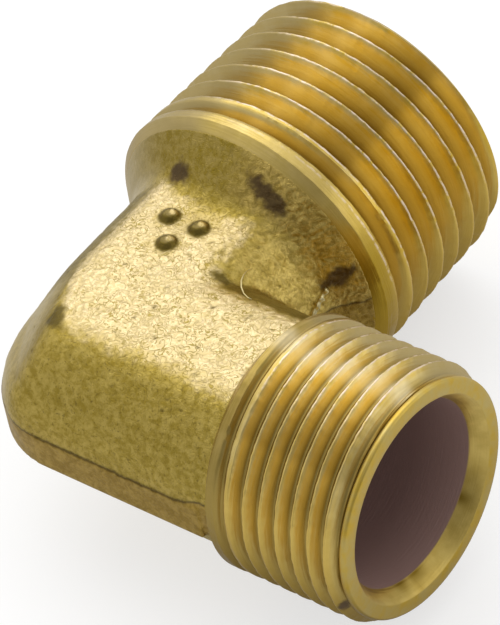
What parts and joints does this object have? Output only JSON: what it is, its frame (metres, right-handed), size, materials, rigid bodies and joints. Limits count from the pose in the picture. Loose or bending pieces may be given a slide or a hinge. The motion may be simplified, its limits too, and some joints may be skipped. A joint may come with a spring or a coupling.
{
  "type": "90 degree compression elbow",
  "caption": "Forged brass elbow body that joins a straight-threaded compression tube end to a tapered male pipe thread at 90 degrees.",
  "frame": {"origin": "where the axes of the tube end and the pipe end cross, which centre-to-end sizes are measured from", "axes": "+X along the tube end's axis, out of its mouth; +Y along the pipe end's axis, out of its mouth; +Z square to both, out of the pad with the three dots, and z = 0 is the plane where the forging dies met"},
  "size_m": [0.0341, 0.0355, 0.0216],
  "materials": {
    "forged_brass": "as forged: a matt, finely crinkled skin, bright on the pads and olive on the sides",
    "turned_brass_tube_end": "machined, satin",
    "turned_brass_pipe_end": "machined, satin"
  },
  "bodies": {
    "root": {"forged_elbow": "forged_brass", "tube_thread_end": "turned_brass_tube_end", "pipe_thread_end": "turned_brass_pipe_end"}
  },
  "joints": []
}
